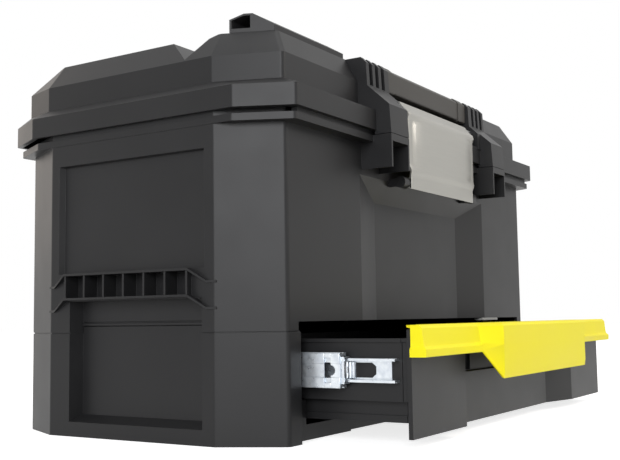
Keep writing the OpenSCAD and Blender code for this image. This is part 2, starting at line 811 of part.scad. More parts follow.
module latch_plate() color(latch_metal) difference() {
    union() {
        bar_x(-bracket_half + run_fit, bracket_half - run_fit, latch_y, latch_z, latch_knuckle_r);
        along_x(-latch_half, latch_half)
            polygon([[latch_y, latch_z + latch_knuckle_r - 0.2], [latch_face, latch_shoulder_z],
                [latch_face, latch_step_z], [latch_face + latch_t, latch_step_z + latch_t * 0.4],
                [latch_face + latch_t, latch_shoulder_z - latch_t * 0.4], [latch_y, latch_z]]);
        along_x(-latch_foot_half, latch_foot_half)
            polygon([[latch_face, latch_step_z + 3], [latch_face, latch_step_z],
                [latch_face + latch_step_in, latch_step_z - latch_step_h],
                [latch_face + latch_step_in, latch_low_z],
                [latch_face + latch_step_in + latch_t, latch_low_z],
                [latch_face + latch_step_in + latch_t, latch_step_z - latch_step_h],
                [latch_face + latch_t, latch_step_z + latch_t * 0.4],
                    [latch_face + latch_t, latch_step_z + 3]]);
        // Folded sides of the foot
        both_sides() block([latch_foot_half - latch_fold, latch_face + latch_step_in, latch_low_z + 1],
            [latch_foot_half, latch_face + latch_step_in + latch_fold_deep, latch_step_z - latch_step_h]);
    }
    bar_x(-bracket_half, bracket_half, latch_y, latch_z, latch_pin_d / 2 + pin_fit);
}

// ---- Handle ----

// Profile of the grip bar, let out by a distance
function grip_profile(o) = rounded([[handle_front - o, handle_z - o],
    [handle_front - o, handle_z + grip_h - 4],
    [handle_front + 5 - o / 2, handle_z + grip_h + o], [handle_front + grip_d + o, handle_z + grip_h - 1 + o],
    [handle_front + grip_d + o, handle_z - o]], 1.5);
module handle() color(grip_grey) difference() {
    union() {
        along_x(-handle_half, handle_half) polygon(grip_profile(0));
        both_sides() {
            along_x(handle_half - arm_w, handle_half) polygon(grip_profile(handle_collar));
            along_x(handle_half - arm_w, handle_half)
                polygon([[handle_front + grip_d / 2, pivot_z - arm_r], [pivot_y, pivot_z - arm_r],
                    [pivot_y, pivot_z + arm_r], [handle_front + grip_d / 2, pivot_z + arm_r]]);
            bar_x(handle_half - arm_w, handle_half, pivot_y, pivot_z, arm_r);
        }
    }
    both_sides() bar_x(handle_half - arm_w - past, handle_half + past, pivot_y, pivot_z,
        handle_pin_d / 2 + pin_fit);
}

// ---- Drawer: modelled closed, then drawn out ----

module open_drawer() {
    translate([0, -drawer_out, 0]) children();
}
module drawer_tray() color(black_abs) open_drawer() difference() {
    back = tray_front + tray_d;
    union() {
        block([-tray_half, tray_front, tray_step_z], [tray_half, back, tray_top]);
        block([-tray_half + tray_step, tray_front, tray_z], [tray_half - tray_step, back, tray_step_z + past]);
        block([-tray_half - tray_rim_out, tray_front, tray_top - tray_rim_h],
            [tray_half + tray_rim_out, back, tray_top]);
        block([-tray_half + tray_step - tray_band, tray_front, tray_z],
            [tray_half - tray_step + tray_band, back, tray_z + tray_band_h]);
    }
    block([-tray_half + tray_wall, tray_front + tray_wall, tray_step_z + tray_wall],
        [tray_half - tray_wall, back - tray_wall, tray_top + past]);
    block([-tray_half + tray_step + tray_wall, tray_front + tray_wall, tray_z + tray_wall],
        [tray_half - tray_step - tray_wall, back - tray_wall, tray_top + past]);
    // Bores for the screws of the front and of the drawer members
    front_screw_places() along_y(tray_front - past, tray_front + tray_wall + past)
        circle(r = screw_r + pin_fit, $fn = 32);
    both_sides() at_slide_screws()
        bar_x(tray_half - tray_wall - past, tray_half + past, 0, slide_z, slide_screw_r + pin_fit);
}
// Loose plates that stand on the tray's floor
module drawer_dividers() color(black_abs) open_drawer()
    for (i = [1 : divider_n]) translate([-tray_half + i * 2 * tray_half / (divider_n + 1), 0, 0])
        block([-divider_t / 2, tray_front + tray_wall + divider_fit, tray_z + tray_wall],
            [divider_t / 2, tray_front + tray_d - tray_wall - divider_fit, tray_top - divider_low]);
// Plan of the drawer front's outer face, moved back by a distance
function front_plan(back) = [[front_half, -half_d + back], [recess_edge, -half_d + back],
    [recess_half, -half_d + recess_deep + back], [-recess_half, -half_d + recess_deep + back],
    [-recess_edge, -half_d + back], [-front_half, -half_d + back]];
function reversed(v) = [for (i = [len(v) - 1 : -1 : 0]) v[i]];
module front_screw_places() {
    for (s = [-1, 1], x = [front_screw_near, front_screw_far]) translate([s * x, 0, tray_z + 12]) children();
}
module drawer_front() color(black_abs) open_drawer() difference() {
    union() {
        prism(concat(front_plan(0), reversed(front_plan(front_t))), front_z, front_top);
        // Ribs back to the tray
        both_sides() block([front_rib_x, -half_d + front_t / 2, tray_z + tray_band_h],
            [front_rib_x + front_rib_t, tray_front, tray_top - tray_rim_h]);
    }
    block([-recess_edge, -half_d - past, finger_z], [recess_edge, half_d, front_top + past]);
    front_screw_places() along_y(tray_front - front_t + front_blind, tray_front + past)
        circle(r = screw_r + pin_fit, $fn = 32);
}
module front_screws() color(steel) open_drawer() front_screw_places() {
    along_y(tray_front + tray_wall, tray_front + tray_wall + front_head_h) circle(r = screw_head_r, $fn = 32);
    along_y(tray_front - front_t + front_blind, tray_front + tray_wall + front_head_h / 2)
        circle(r = screw_r, $fn = 32);
}
// Solid form of the cap's bar, drawn in by a distance: an upper part and a lip below it
module cap_bar(in = 0) {
    front = -half_d - cap_out + in;
    back = -half_d - cap_gap + (in > 0 ? past : 0);
    z0 = cap_low - (in > 0 ? past : 0);
    lip = z0 + cap_lip_h + (in > 0 ? past : 0);
    intersection() {
        along_x(-cap_half - cap_lip_end + in, cap_half + cap_lip_end - in)
            polygon([[back, z0], [front, z0], [front, lip], [front + cap_lip_out, lip + cap_lip_out],
                [front + cap_lip_out + cap_taper, cap_top - cap_round - in],
                [front + cap_lip_out + cap_taper + cap_round, cap_top - in], [back, cap_top - in]]);
        union() {
            prism(cap_plan(cap_half + cap_lip_end - in, front), cap_low - 2 * past, lip);
            prism(cap_plan(cap_half - in, front), cap_low - 2 * past, cap_top + past);
        }
    }
}
function cap_plan(half, front) = [[-half, -half_d + past], [-half, front + cap_round],
    [-half + cap_round, front], [half - cap_round, front], [half, front + cap_round], [half, -half_d + past]];
// Solid form of the grip block, drawn in by a distance
module cap_pull(in = 0) {
    half = pull_half - in;
    front = -half_d - pull_out + in;
    z0 = pull_z - (in > 0 ? past : 0);
    intersection() {
        prism([[-half, -half_d - 5], [-half, -half_d - cap_out + 1], [-half + pull_side, front],
            [half - pull_side, front], [half, -half_d - cap_out + 1], [half, -half_d - 5]], 0, cap_top + past);
        along_y(-half_d - pull_out - past, -half_d)
            polygon([[-half + pull_foot, z0], [half - pull_foot, z0], [half, cap_low], [half, cap_top - in],
                [-half, cap_top - in], [-half, cap_low]]);
        // Front with a faint bevel along its lower edge
        along_x(-half, half)
            polygon([[-half_d, z0], [front + pull_bevel, z0], [front, pull_z + pull_bevel_h],
                [front, cap_top - cap_round - in], [front + cap_round, cap_top - in],
                    [-half_d, cap_top - in]]);
    }
}
module drawer_cap() color(yellow_abs) open_drawer() {
    difference() {
        union() {
            cap_bar();
            cap_pull();
        }
        cap_bar(cap_wall);
        cap_pull(cap_wall);
        block([-pull_half + cap_wall, -half_d - 6, cap_low - past],
            [pull_half - cap_wall, -half_d, cap_top - cap_wall]);
    }
    // Top plate over the drawer front, shallow at its ends
    block([-cap_plate_half, -half_d - past, cap_top - cap_wall], [cap_plate_half, cap_back, cap_top]);
    block([-front_half, -half_d - past, cap_top - cap_wall], [front_half, -half_d + front_t, cap_top]);
}

// ---- Ball slides, drawn for the right side ----

module slide_profile(near, far, h, flange_t, web_at_far) {
    // near and far are distances from the bay wall; the web is at one of them
    difference() {
        translate([bay_half - far, slide_z - h / 2]) square([far - near, h]);
        translate([bay_half - far + (web_at_far ? web_t : -past), slide_z - h / 2 + flange_t])
            square([far - near - web_t + past, h - 2 * flange_t]);
    }
}
module grooves(d, h, r) {
    for (s = [-1, 1]) translate([bay_half - d, slide_z + s * h]) circle(r = r + ball_fit, $fn = 32);
}
module outer_grooves() grooves(outer_ball_in, outer_ball_h, outer_ball_r);
module inner_grooves() grooves(inner_ball_in, inner_ball_h, inner_ball_r);
module at_slide_screws() {
    for (i = [0 : slide_screw_n - 1]) translate([0, slide_front + slide_screw_in + i * slide_screw_step,
        0]) children();
}
module slide_outer_right() color(zinc) difference() {
    along_y(slide_front, slide_front + slide_l) difference() {
        slide_profile(0, outer_flange, outer_h, outer_flange_t, false);
        outer_grooves();
    }
    at_slide_screws() bar_x(bay_half - web_t - past, bay_half + past, 0, slide_z, slide_screw_r + pin_fit);
}
module slide_outer_left() mirror([1, 0, 0]) slide_outer_right();
module cabinet_screws() color(steel) both_sides() at_slide_screws() {
    bar_x(bay_half - web_t - slide_head_h, bay_half - web_t, 0, slide_z, slide_head_r);
    bar_x(bay_half - web_t - slide_head_h / 2, bay_half + wall - 0.5, 0, slide_z, slide_screw_r);
}
module slide_mid_right() color(zinc) translate([0, -drawer_out / 2, 0]) difference() {
    along_y(mid_front, mid_front + slide_l) difference() {
        slide_profile(mid_in, mid_in + mid_flange, mid_h, mid_flange_t, false);
        outer_grooves();
        inner_grooves();
    }
    // Sunk middle of the web, and the slot with its round bump near the front end
    x0 = bay_half - mid_in - web_t;
    block([x0 - past, mid_front - past, slide_z - mid_sunk_h / 2],
        [x0 + mid_sunk, mid_front + slide_l + past, slide_z + mid_sunk_h / 2]);
    block([x0 - past, mid_slot_y, slide_z - mid_slot_h / 2],
        [x0 + web_t + past, mid_slot_y + mid_slot_l, slide_z + mid_slot_h / 2]);
    bar_x(x0 - past, x0 + web_t + past, mid_slot_y, slide_z, mid_bump_r);
}
module slide_mid_left() mirror([1, 0, 0]) slide_mid_right();
module slide_inner_right() color(zinc) open_drawer() difference() {
    along_y(inner_front, slide_front + slide_l) difference() {
        slide_profile(slide_w - inner_flange, slide_w, inner_h, inner_flange_t, true);
        inner_grooves();
    }
    // Notched front end, and a window with a tapered front
    x0 = bay_half - slide_w - past;
    x1 = bay_half - slide_w + web_t + past;
    block([x0, inner_front - past, slide_z - inner_h / 2 + inner_flange_t],
        [x1, inner_front + inner_notch, slide_z + inner_h / 2 - inner_flange_t]);
    h = inner_window_h / 2;
    y0 = inner_window_y + inner_window_taper;
    y1 = inner_window_y + inner_window_l;
    along_x(x0, x1) polygon([[inner_window_y, slide_z - h / 2], [y0, slide_z - h], [y1, slide_z - h],
        [y1, slide_z + h], [y0, slide_z + h], [inner_window_y, slide_z + h / 2]]);
    at_slide_screws() bar_x(bay_half - slide_w - past, bay_half - slide_w + web_t + past, 0, slide_z,
        slide_screw_r + pin_fit);
}
module slide_inner_left() mirror([1, 0, 0]) slide_inner_right();
module member_screws() color(steel) open_drawer() both_sides() at_slide_screws() {
    bar_x(tray_half + web_t, tray_half + web_t + slide_head_h, 0, slide_z, slide_head_r);
    bar_x(tray_half - tray_wall + 0.2, tray_half + web_t + slide_head_h / 2, 0, slide_z, slide_screw_r);
}
// Rows of balls above and below the slide's middle line
module ball_rows(d, h, r, y0) {
    for (i = [0 : ball_n - 1], s = [-1, 1])
        translate([bay_half - d, y0 + ball_pitch * (i + 1), slide_z + s * h]) sphere(r = r, $fn = 24);
}
module inner_balls() color(steel) translate([0, -drawer_out / 2, 0])
    both_sides() ball_rows(inner_ball_in, inner_ball_h, inner_ball_r, cage_front);
module outer_balls() color(steel) translate([0, -drawer_out / 4, 0])
    both_sides() ball_rows(outer_ball_in, outer_ball_h, outer_ball_r, outer_cage_front);
// Holes of the balls through a cage strip
module ball_holes(d, r, y0) {
    for (i = [0 : ball_n - 1]) translate([bay_half - d, y0 + ball_pitch * (i + 1), slide_z - outer_h])
        cylinder(h = 2 * outer_h, r = r + ball_fit, $fn = 24);
}
module inner_cages() color(zinc) translate([0, -drawer_out / 2, 0]) both_sides() difference() {
    back = bay_half - mid_in - web_t;
    h = inner_ball_h + inner_cage_t / 2;
    block([bay_half - inner_ball_in - 1.9, cage_front, slide_z - h], [back, cage_front + cage_l, slide_z + h]);
    block([bay_half - inner_ball_in - 3, cage_front - past, slide_z - h + inner_cage_t],
        [back - 0.9, cage_front + cage_l + past, slide_z + h - inner_cage_t]);
    block([back - 3, cage_front + 6, slide_z - 5], [back + past, cage_front + cage_l - 6, slide_z + 5]);
    ball_holes(inner_ball_in, inner_ball_r, cage_front);
}
module outer_cages() color(zinc) translate([0, -drawer_out / 4, 0]) both_sides() difference() {
    for (s = [-1, 1]) translate([0, 0, s * outer_ball_h])
        block([bay_half - outer_flange + 0.6, outer_cage_front, slide_z - outer_cage_t / 2],
            [bay_half - mid_in - 0.2, outer_cage_front + cage_l, slide_z + outer_cage_t / 2]);
    ball_holes(outer_ball_in, outer_ball_r, outer_cage_front);
}

// ---- Tote tray inside the case ----

function tote_plan(in) = rounded(octagon(tote_half_l - in, -tote_d / 2 + in, tote_d / 2 - in,
    corner_l - in * 0.2, corner_d - in * 0.6), 3);
module tote_tray() color(yellow_abs) {
    difference() {
        prism(tote_plan(0), tote_z, tote_top);
        difference() {
            prism(tote_plan(tray_wall), tote_z + tray_wall, tote_top + past);
            // Long wall under the handle bar and two cross walls
            block([-tote_half_l, -tote_cell_t / 2, tote_z],
                [tote_half_l, tote_cell_t / 2, tote_top - tote_wall_low]);
            both_sides() block([tote_cell_x, -tote_d / 2, tote_z],
                [tote_cell_x + tote_cell_t, tote_d / 2, tote_top - tote_cell_low]);
        }
    }
    both_sides() {
        block([tote_half_l - past, -tote_ledge_half + 4, tote_ledge_z + 0.3],
            [tote_half_l + tote_lug_w, tote_ledge_half - 4, tote_ledge_z + 0.3 + tote_lug_t]);
        block([tote_bar_half, -tote_bar_w / 2, tote_top - tote_bar_down],
            [tote_bar_half + tote_bar_t, tote_bar_w / 2, tote_top + tote_bar_up]);
    }
    block([-tote_bar_half - tote_bar_t, -tote_bar_w / 2, tote_top + tote_bar_up - tote_bar_t],
        [tote_bar_half + tote_bar_t, tote_bar_w / 2, tote_top + tote_bar_up]);
}

base_cabinet();
upper_case();
case_screws();
drawer_tab();
tote_tray();
slide_outer_left();
slide_outer_right();
cabinet_screws();
hinge_pins();
lid_shell();
lid_rail();
latch_pin();
handle_pins();
latch_plate();
handle();
drawer_tray();
drawer_dividers();
drawer_front();
drawer_cap();
front_screws();
slide_inner_left();
slide_inner_right();
member_screws();
slide_mid_left();
slide_mid_right();
inner_cages();
inner_balls();
outer_cages();
outer_balls();
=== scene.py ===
"""Visual model of the portable tool box: finishes, light, camera, rounded edges and the pieces made anew."""
import json
import math

import bmesh
import bpy
from mathutils import Matrix, Vector


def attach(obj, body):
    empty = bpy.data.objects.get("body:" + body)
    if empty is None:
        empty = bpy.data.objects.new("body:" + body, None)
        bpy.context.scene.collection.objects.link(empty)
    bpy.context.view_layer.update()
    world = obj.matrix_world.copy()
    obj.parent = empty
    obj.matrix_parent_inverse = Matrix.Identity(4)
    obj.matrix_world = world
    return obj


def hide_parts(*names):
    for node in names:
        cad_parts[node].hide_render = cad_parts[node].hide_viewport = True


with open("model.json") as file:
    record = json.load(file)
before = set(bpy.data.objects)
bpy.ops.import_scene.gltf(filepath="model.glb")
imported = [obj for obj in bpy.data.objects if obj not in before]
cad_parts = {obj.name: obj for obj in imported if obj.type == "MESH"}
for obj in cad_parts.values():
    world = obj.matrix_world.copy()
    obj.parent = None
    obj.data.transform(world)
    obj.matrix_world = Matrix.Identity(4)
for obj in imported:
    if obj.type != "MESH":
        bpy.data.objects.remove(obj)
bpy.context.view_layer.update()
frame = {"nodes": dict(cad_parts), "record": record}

MM = 0.001
SIDES = ((-1, "left"), (1, "right"))


def new_object(name, data):
    """An object that shows the data, linked to the scene."""
    thing = bpy.data.objects.new(name, data)
    bpy.context.scene.collection.objects.link(thing)
    return thing


def ramp(value):
    """The value, kept between 0 and 1."""
    return min(1.0, max(0.0, value))


# ---------------------------------------------------------------- camera
# Fitted to the photograph: focal length in pixels of its 620-pixel width, place in metres, and angles
PHOTO_W = 620
FOCAL_PX = 954.5
SENSOR_MM = 36.0
CAMERA_AT = (-0.73154, -0.46468, 0.0824)
YAW = math.radians(32.35)
PITCH = math.radians(5.25)
ROLL = math.radians(-0.854)


def add_camera():
    """Camera at the photograph's viewpoint."""
    data = bpy.data.cameras.new("camera")
    data.sensor_width = SENSOR_MM
    data.lens = FOCAL_PX / PHOTO_W * data.sensor_width
    ahead = Vector((math.cos(YAW) * math.cos(PITCH), math.sin(YAW) * math.cos(PITCH), math.sin(PITCH)))
    level = Vector((math.sin(YAW), -math.cos(YAW), 0.0))
    upward = level.cross(ahead)
    right = math.cos(ROLL) * level + math.sin(ROLL) * upward
    top = -math.sin(ROLL) * level + math.cos(ROLL) * upward
    camera = new_object("camera", data)
    camera.matrix_world = Matrix((right, top, -ahead)).transposed().to_4x4()
    camera.location = CAMERA_AT
    bpy.context.scene.camera = camera


# ---------------------------------------------------------------- materials
# Nearly all values of a noise texture lie between these two
NOISE_LOW = 0.3
NOISE_HIGH = 0.7


def linear(hex_value):
    """An sRGB hex colour as linear RGBA."""
    channels = [int(hex_value[i:i + 2], 16) / 255 for i in (1, 3, 5)]
    return [c / 12.92 if c <= 0.04045 else ((c + 0.055) / 1.055) ** 2.4 for c in channels] + [1.0]


def add(tree, kind, inputs=None, **settings):
    """Adds a node: settings are its attributes, inputs its values or the sockets that feed it."""
    node = tree.nodes.new(kind)
    for name, value in settings.items():
        setattr(node, name, value)
    for name, value in (inputs or {}).items():
        if isinstance(value, bpy.types.NodeSocket):
            tree.links.new(value, node.inputs[name])
        else:
            node.inputs[name].default_value = value
    return node


def new_material(name):
    """An empty material, its node tree and its object coordinates."""
    material = bpy.data.materials.new(name)
    material.use_nodes = True
    tree = material.node_tree
    tree.nodes.clear()
    place = add(tree, "ShaderNodeTexCoord").outputs["Object"]
    return material, tree, place


def finish_material(tree, **sockets):
    """The surface shader and the output."""
    shader = add(tree, "ShaderNodeBsdfPrincipled", {k.replace("_", " "): v for k, v in sockets.items()})
    add(tree, "ShaderNodeOutputMaterial", {"Surface": shader.outputs["BSDF"]})


def blotches(tree, place, size_mm, low=0.0, high=1.0):
    """Slow variation: a factor from low to high, over patches of a size."""
    noise = add(tree, "ShaderNodeTexNoise", {"Vector": place, "Scale": 1 / (size_mm * MM), "Detail": 3.0})
    spread = add(tree, "ShaderNodeMapRange", {"Value": noise.outputs["Fac"], "From Min": NOISE_LOW,
                                              "From Max": NOISE_HIGH, "To Min": low, "To Max": high})
    return spread.outputs["Result"]


def two_tones(tree, factor, colour, shade):
    """A colour that goes from one hex colour to another with the factor."""
    mix = add(tree, "ShaderNodeMix", {"Factor": factor, "A": linear(colour), "B": linear(shade)},
              data_type="RGBA")
    return mix.outputs["Result"]


def grain_bump(tree, place, size_mm, strength, depth_mm):
    """Fine grain as a bump."""
    noise = add(tree, "ShaderNodeTexNoise", {"Vector": place, "Scale": 1 / (size_mm * MM), "Detail": 2.0,
                                             "Roughness": 0.6})
    return add(tree, "ShaderNodeBump", {"Height": noise.outputs["Fac"], "Strength": strength,
                                        "Distance": depth_mm * MM}).outputs["Normal"]


def moulded_plastic(name, colour, shade, grain_mm, roughness, gloss, depth_mm=0.05):
    """Injection-moulded plastic: two close tones of one colour in slow patches, and a fine grain."""
    material, tree, place = new_material(name)
    finish_material(tree, Base_Color=two_tones(tree, blotches(tree, place, 60), colour, shade),
                    IOR=1.5, Specular_IOR_Level=gloss,
                    Roughness=blotches(tree, place, 30, roughness - 0.02, roughness + 0.02),
                    Normal=grain_bump(tree, place, grain_mm, 0.3, depth_mm))
    return material


def black_abs():
    """Black ABS from a spark-eroded mould: satin, with a fine even grain that greys the highlights."""
    return moulded_plastic("black_moulded_abs", "#1e1e1f", "#222223", 0.7, 0.43, 0.25)


def grip_abs():
    """Grey ABS of the handle: a little lighter and rougher, so that a hand does not slip."""
    return moulded_plastic("grey_moulded_abs", "#393734", "#3f3d3a", 0.9, 0.55, 0.35)


def light_abs():
    """Light grey ABS of the small tab: smooth from a plain mould."""
    return moulded_plastic("light_grey_abs", "#8e8e8a", "#979793", 1.2, 0.4, 0.4, 0.02)


def yellow_abs():
    """Yellow ABS: smooth and slightly glossy, with the colour deep in the plastic."""
    return moulded_plastic("yellow_gloss_abs", "#fff100", "#fff312", 1.6, 0.5, 0.4, 0.01)


def brushed_latch_steel():
    """Stainless sheet brushed along its length: soft streaks that stretch the highlights."""
    material, tree, place = new_material("brushed_stainless_sheet")
    streak_mm = 0.8
    streak_stretch = 40
    stretched = add(tree, "ShaderNodeMapping", {"Vector": place, "Scale": (1 / streak_stretch, 1.0, 1.0)})
    brush = add(tree, "ShaderNodeTexNoise", {"Vector": stretched.outputs["Vector"],
                                             "Scale": 1 / (streak_mm * MM), "Detail": 3.0}).outputs["Fac"]
    rough = add(tree, "ShaderNodeMapRange", {"Value": brush, "To Min": 0.36, "To Max": 0.5})
    bump = add(tree, "ShaderNodeBump", {"Height": brush, "Strength": 0.12, "Distance": 0.05 * MM})
    finish_material(tree, Base_Color=two_tones(tree, brush, "#9b9a95", "#a8a7a2"), Metallic=0.75,
                    Roughness=rough.outputs["Result"], Normal=bump.outputs["Normal"])
    return material


def zinc_plate():
    """Bright zinc on rolled steel: bluish, with cloudy spots and a faint grain."""
    material, tree, place = new_material("bright_zinc_plate")
    finish_material(tree, Base_Color=two_tones(tree, blotches(tree, place, 5), "#c2c9d1", "#dde2e6"),
                    Metallic=0.9, Roughness=blotches(tree, place, 3, 0.26, 0.4),
                    Normal=grain_bump(tree, place, 1.5, 0.15, 0.02))
    return material


def plain_steel():
    """Plain turned steel of pins, balls and screws: grey, with a slight blur."""
    material, tree, place = new_material("turned_steel")
    finish_material(tree, Base_Color=two_tones(tree, blotches(tree, place, 2), "#8f9092", "#a2a3a5"),
                    Metallic=1.0, Roughness=blotches(tree, place, 1.5, 0.3, 0.42))
    return material


MATERIALS = {"black_abs": black_abs(), "grip_abs": grip_abs(), "light_abs": light_abs(),
             "yellow_abs": yellow_abs(), "latch_steel": brushed_latch_steel(), "zinc_steel": zinc_plate(),
             "steel": plain_steel()}
SLOT_OF = {s["node"]: s["material_slot"] for s in frame["record"]["subparts"]}
BODY_OF = {n: b for b, names in frame["record"]["behaviour"]["bodies"].items() for n in names}


def paint(mesh, slot):
    """The mesh takes the finish of a slot, and no other."""
    mesh.materials.clear()
    mesh.materials.append(MATERIALS[slot])


# ---------------------------------------------------------------- light and floor
ROOM_STRENGTH = 0.15
LAMPS_FACE = (0, 0, 0.14)
# Each lamp: name, compass angle from +X and height angle in degrees, distance, size, power in watts, tint
LAMPS = [("key_left", 203, 14, 1.9, 0.8, 22, "#fcfdff"),
         ("back_warm", 97, 22, 1.9, 1.3, 6, "#ffeedd"),
         ("top_soft", 90, 84, 1.9, 1.5, 12, "#ffffff"),
         ("front_right", 286, 32, 2.2, 1.2, 20, "#fff8f0")]
FLOOR_HALF = 6
FLOOR_DROP = 0.0002
# The floor's own glow goes from the first to the second: metres from the origin, and strength there
GLOW_NEAR = (0.5, 0.78)
GLOW_FAR = (1.6, 1.0)


def direct_sight(tree, path):
    """1 for rays of the camera, of reflections and of see-through parts."""
    seen = path.outputs["Is Camera Ray"]
    for kind in ("Is Glossy Ray", "Is Transmission Ray"):
        larger = add(tree, "ShaderNodeMath", {0: seen, 1: path.outputs[kind]}, operation="MAXIMUM")
        seen = larger.outputs["Value"]
    return seen


def paper_floor():
    """Studio paper: grey to the object, white to the camera and in reflections, with the object's shadow."""
    material, tree, place = new_material("studio_paper")
    path = add(tree, "ShaderNodeLightPath")
    grey = add(tree, "ShaderNodeBsdfDiffuse", {"Color": linear("#c4c4c4")})
    paper = add(tree, "ShaderNodeBsdfDiffuse", {"Color": linear("#e6e6e6")})
    away = add(tree, "ShaderNodeVectorMath", {0: place}, operation="LENGTH")
    fade = add(tree, "ShaderNodeMapRange", {"Value": away.outputs["Value"],
                                            "From Min": GLOW_NEAR[0], "From Max": GLOW_FAR[0],
                                            "To Min": GLOW_NEAR[1], "To Max": GLOW_FAR[1]})
    glow = add(tree, "ShaderNodeEmission", {"Color": (1, 1, 1, 1), "Strength": fade.outputs["Result"]})
    lit = add(tree, "ShaderNodeAddShader", {0: paper.outputs["BSDF"], 1: glow.outputs["Emission"]})
    pick = add(tree, "ShaderNodeMixShader", {"Fac": direct_sight(tree, path), 1: grey.outputs["BSDF"],
                                             2: lit.outputs["Shader"]})
    add(tree, "ShaderNodeOutputMaterial", {"Surface": pick.outputs["Shader"]})
    return material


def add_light(name, turn, rise, distance, size, power, tint):
    """A soft square lamp that faces the object's middle."""
    turn, rise = math.radians(turn), math.radians(rise)
    flat = distance * math.cos(rise)
    at = (flat * math.cos(turn), flat * math.sin(turn), LAMPS_FACE[2] + distance * math.sin(rise))
    data = bpy.data.lights.new(name, "AREA")
    data.size = size
    data.energy = power
    data.color = linear(tint)[:3]
    lamp = new_object(name, data)
    lamp.location = at
    lamp.rotation_euler = (Vector(LAMPS_FACE) - Vector(at)).to_track_quat("-Z", "Y").to_euler()


def add_studio():
    """Dim room with a white backdrop, paper floor and soft lamps."""
    scene = bpy.context.scene
    scene.view_settings.view_transform = "Standard"
    world = bpy.data.worlds.new("studio")
    scene.world = world
    world.use_nodes = True
    tree = world.node_tree
    tree.nodes.clear()
    path = add(tree, "ShaderNodeLightPath")
    white = add(tree, "ShaderNodeBackground", {"Color": (1, 1, 1, 1), "Strength": 1.0})
    room = add(tree, "ShaderNodeBackground", {"Color": linear("#f2f4f6"), "Strength": ROOM_STRENGTH})
    pick = add(tree, "ShaderNodeMixShader", {"Fac": direct_sight(tree, path), 1: room.outputs["Background"],
                                             2: white.outputs["Background"]})
    add(tree, "ShaderNodeOutputWorld", {"Surface": pick.outputs["Shader"]})
    for lamp in LAMPS:
        add_light(*lamp)
    corners = [(x * FLOOR_HALF, y * FLOOR_HALF, 0) for x, y in ((-1, -1), (1, -1), (1, 1), (-1, 1))]
    mesh = bpy.data.meshes.new("floor")
    mesh.from_pydata(corners, [], [(0, 1, 2, 3)])
    mesh.materials.append(paper_floor())
    floor = new_object("floor", mesh)
    floor.location.z = -FLOOR_DROP


# ---------------------------------------------------------------- meshes
BEVEL_FROM = math.radians(28)
SHARP_FROM = math.radians(40)


def box_verts(lo, hi):
    """Corners and faces of a box."""
    verts = [(x, y, z) for x in (lo[0], hi[0]) for y in (lo[1], hi[1]) for z in (lo[2], hi[2])]
    return verts, [(0, 1, 3, 2), (4, 6, 7, 5), (0, 4, 5, 1), (2, 3, 7, 6), (0, 2, 6, 4), (1, 5, 7, 3)]


def join_boxes(boxes):
    """Points and faces of several boxes, each given by two opposite corners in any order."""
    verts, faces = [], []
    for one, other in boxes:
        corners, sides = box_verts([min(pair) for pair in zip(one, other)],
                                   [max(pair) for pair in zip(one, other)])
        faces += [tuple(i + len(verts) for i in side) for side in sides]
        verts += corners
    return verts, faces


def grid_sheet(rows):
    """Points and quads of a sheet given as rows of points."""
    width = len(rows[0])
    faces = [(r * width + c, r * width + c + 1, (r + 1) * width + c + 1, (r + 1) * width + c)
             for r in range(len(rows) - 1) for c in range(width - 1)]
    return [v for row in rows for v in row], faces


def outward_mesh(name, verts_mm, faces, weld_mm=0.0):
    """A mesh from points in millimetres, its doubles merged if asked and its faces turned outwards."""
    mesh = bpy.data.meshes.new(name)
    mesh.from_pydata([[c * MM for c in v] for v in verts_mm], [], faces)
    bm = bmesh.new()
    bm.from_mesh(mesh)
    if weld_mm:
        bmesh.ops.remove_doubles(bm, verts=bm.verts, dist=weld_mm * MM)
    bmesh.ops.recalc_face_normals(bm, faces=bm.faces)
    bm.to_mesh(mesh)
    bm.free()
    return mesh


def as_plain(piece):
    """Turns the piece's modifiers into plain mesh."""
    bpy.context.view_layer.update()
    evaluated = piece.evaluated_get(bpy.context.evaluated_depsgraph_get())
    mesh = bpy.data.meshes.new_from_object(evaluated)
    piece.modifiers.clear()
    piece.data = mesh


def crisp_facets(mesh, least_deg=7, wide_mm=3, long_mm=2):
    """Wide flat faces that meet at a shallow angle keep their line; a rounded corner's strips stay smooth."""
    bm = bmesh.new()
    bm.from_mesh(mesh)
    for edge in bm.edges:
        if len(edge.link_faces) == 2 and edge.calc_length() > long_mm * MM:
            wide = min(f.calc_area() for f in edge.link_faces) / edge.calc_length() > wide_mm * MM
            if wide and edge.calc_face_angle() > math.radians(least_deg):
                edge.smooth = False
    bm.to_mesh(mesh)
    bm.free()


def rounded_edges(piece, width_mm, segments=2, crisp=False):
    """Rounds the piece's sharp edges and keeps its flat faces flat."""
    bevel = piece.modifiers.new("edge", "BEVEL")
    bevel.width = width_mm * MM
    bevel.segments = segments
    bevel.limit_method = "ANGLE"
    bevel.angle_limit = BEVEL_FROM
    piece.data.shade_smooth()
    piece.data.set_sharp_from_angle(angle=SHARP_FROM)
    if crisp:
        crisp_facets(piece.data)
    weigh = piece.modifiers.new("normals", "WEIGHTED_NORMAL")
    weigh.keep_sharp = True
    as_plain(piece)


def thicken(piece, wall_mm):
    """Gives a sheet its wall, behind its outer face."""
    wall = piece.modifiers.new("wall", "SOLIDIFY")
    wall.thickness = wall_mm * MM
    wall.offset = -1.0
    wall.use_even_offset = True
    as_plain(piece)


def face_out(piece, direction):
    """Turns an open sheet's faces so that most of them look along a direction."""
    bm = bmesh.new()
    bm.from_mesh(piece.data)
    total = sum((f.normal * f.calc_area() for f in bm.faces), Vector())
    if total.dot(Vector(direction)) < 0:
        bmesh.ops.reverse_faces(bm, faces=bm.faces)
    bm.to_mesh(piece.data)
    bm.free()


